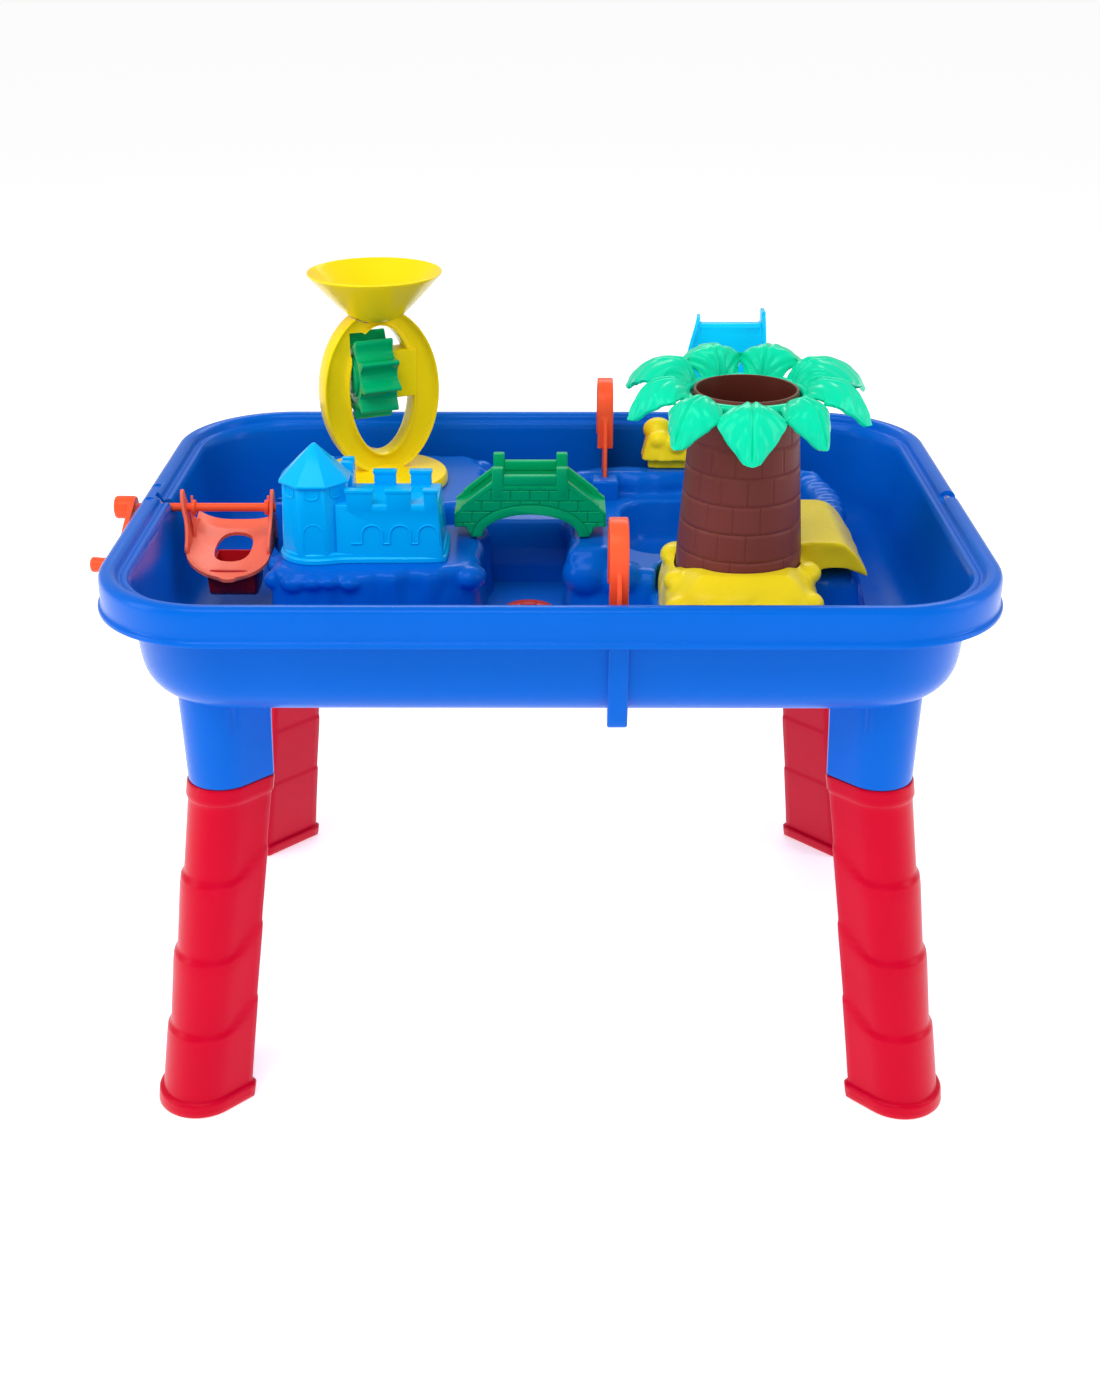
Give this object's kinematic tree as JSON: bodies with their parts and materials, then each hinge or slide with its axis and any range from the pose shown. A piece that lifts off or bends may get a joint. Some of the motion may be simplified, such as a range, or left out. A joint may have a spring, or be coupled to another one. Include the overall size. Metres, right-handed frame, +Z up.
{
  "type": "sand and water table",
  "caption": "Children's moulded-plastic sand and water table with splayed plug-in legs, castle and lagoon islands, sluice gates, water wheel tower, crank scoop, bridge, slide and palm cup.",
  "frame": {"origin": "on the floor under the middle of the whole object's box; the tray's middle is 14.5 mm towards +X, because the crank reaches past the rim on -X", "axes": "+Z up, +X to the right along the table's length seen from the front, -Y towards the front"},
  "size_m": [0.709, 0.495, 0.6076],
  "materials": {
    "tray_blue": "glossy moulded polypropylene, deep blue",
    "leg_red": "glossy blow-moulded plastic, crimson",
    "castle_blue": "glossy moulded plastic, sky blue",
    "slide_blue": "glossy moulded plastic, light blue",
    "bridge_green": "glossy moulded plastic, green",
    "wheel_green": "glossy moulded plastic, dark green",
    "tower_yellow": "glossy moulded plastic, yellow",
    "sand_yellow": "glossy moulded plastic, sand yellow",
    "trunk_brown": "satin moulded plastic, brown",
    "leaf_green": "glossy moulded plastic, mint green",
    "coral": "glossy moulded plastic, coral",
    "scoop_coral": "glossy moulded plastic, coral red",
    "plug_red": "glossy moulded plastic, red",
    "seal_black": "soft rubber",
    "steel": "plain steel pin"
  },
  "bodies": {
    "table": {"tray": "tray_blue", "leg_front_left": "leg_red", "leg_front_right": "leg_red", "leg_back_left": "leg_red", "leg_back_right": "leg_red"},
    "castle": {"castle": "castle_blue"},
    "tower": {"tower_frame": "tower_yellow"},
    "wheel": {"water_wheel": "wheel_green", "wheel_axle": "steel"},
    "funnel": {"funnel": "tower_yellow"},
    "bridge": {"bridge": "bridge_green"},
    "gate_front": {"gate_front": "coral"},
    "gate_back": {"gate_back": "coral"},
    "beach": {"beach": "sand_yellow"},
    "trunk": {"trunk_cup": "trunk_brown"},
    "crown": {"palm_crown": "leaf_green"},
    "rock": {"rock_back": "sand_yellow"},
    "slide": {"slide": "slide_blue"},
    "scoop": {"scoop": "scoop_coral", "scoop_axle": "coral", "crank_arm": "coral", "crank_screw": "steel"},
    "grip": {"crank_grip": "coral"},
    "plug": {"drain_plug": "plug_red", "plug_seal": "seal_black"}
  },
  "joints": [
    {"name": "castle_lift", "type": "slide", "parent": "table", "child": "castle", "axis": [0, 0, 1], "range_m": [0, 0.12]},
    {"name": "tower_lift", "type": "slide", "parent": "table", "child": "tower", "axis": [0, 0, 1], "range_m": [0, 0.12]},
    {"name": "wheel_spin", "type": "hinge", "parent": "tower", "child": "wheel", "pos_m": [-0.1355, 0.117, 0.519], "axis": [0.9135, 0.4067, 0], "continuous": true},
    {"name": "funnel_lift", "type": "slide", "parent": "tower", "child": "funnel", "axis": [0, 0, 1], "range_m": [0, 0.08]},
    {"name": "bridge_lift", "type": "slide", "parent": "table", "child": "bridge", "axis": [0, 0, 1], "range_m": [0, 0.08]},
    {"name": "gate_front_slide", "type": "slide", "parent": "table", "child": "gate_front", "axis": [0, 0, 1], "range_m": [0, 0.1]},
    {"name": "gate_back_slide", "type": "slide", "parent": "table", "child": "gate_back", "axis": [0, 0, 1], "range_m": [0, 0.1]},
    {"name": "beach_lift", "type": "slide", "parent": "table", "child": "beach", "axis": [0, 0, 1], "range_m": [0, 0.08]},
    {"name": "trunk_lift", "type": "slide", "parent": "beach", "child": "trunk", "axis": [0, 0, 1], "range_m": [0, 0.1]},
    {"name": "crown_lift", "type": "slide", "parent": "trunk", "child": "crown", "axis": [0, 0, 1], "range_m": [0, 0.06]},
    {"name": "rock_lift", "type": "slide", "parent": "table", "child": "rock", "axis": [0, 0, 1], "range_m": [0, 0.06]},
    {"name": "slide_lift", "type": "slide", "parent": "rock", "child": "slide", "axis": [0, 0, 1], "range_m": [0, 0.08]},
    {"name": "scoop_turn", "type": "hinge", "parent": "table", "child": "scoop", "pos_m": [-0.2555, 0.003, 0.436], "axis": [1, 0, 0], "range_deg": [-110, 110]},
    {"name": "grip_spin", "type": "hinge", "parent": "scoop", "child": "grip", "pos_m": [-0.3445, -0.064, 0.411], "axis": [1, 0, 0], "continuous": true},
    {"name": "plug_pull", "type": "slide", "parent": "table", "child": "plug", "axis": [0, 0, 1], "range_m": [0, 0.04]}
  ]
}
